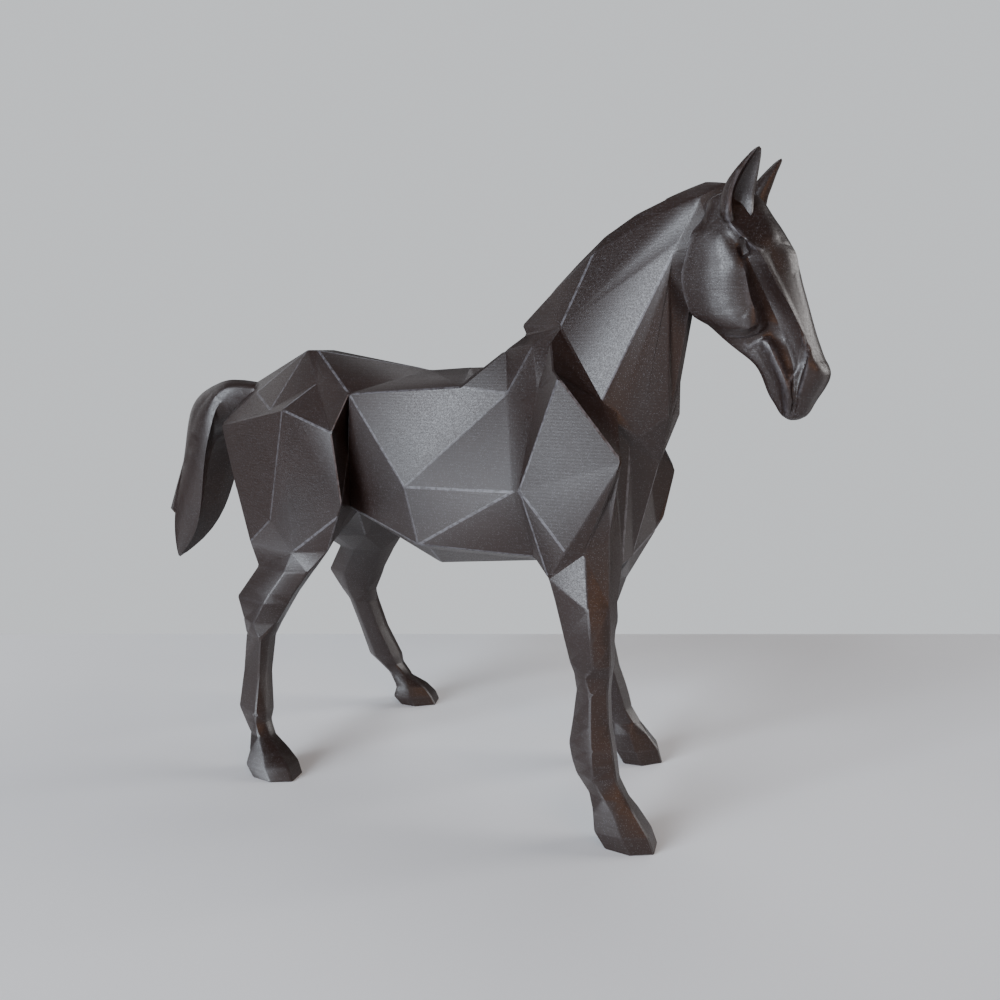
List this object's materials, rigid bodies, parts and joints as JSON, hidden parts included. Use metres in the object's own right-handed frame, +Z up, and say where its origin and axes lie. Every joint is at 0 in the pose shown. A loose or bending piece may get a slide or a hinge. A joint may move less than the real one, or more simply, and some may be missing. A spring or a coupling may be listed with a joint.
{
  "type": "geometric horse sculpture",
  "caption": "Standing low-poly horse figure with flat facets on neck, body and legs, a smooth head and a smooth arched tail, printed in one piece to stand on a desk or shelf.",
  "frame": {"origin": "on the ground under the middle of the figure's bounding box", "axes": "+X the way the horse faces, +Y to its left, +Z up"},
  "size_m": [0.316, 0.1166, 0.2357],
  "materials": {
    "print": "very dark brown printed plastic with a satin sheen and fine layer lines"
  },
  "bodies": {
    "root": {"horse_figure": "print"}
  },
  "joints": []
}
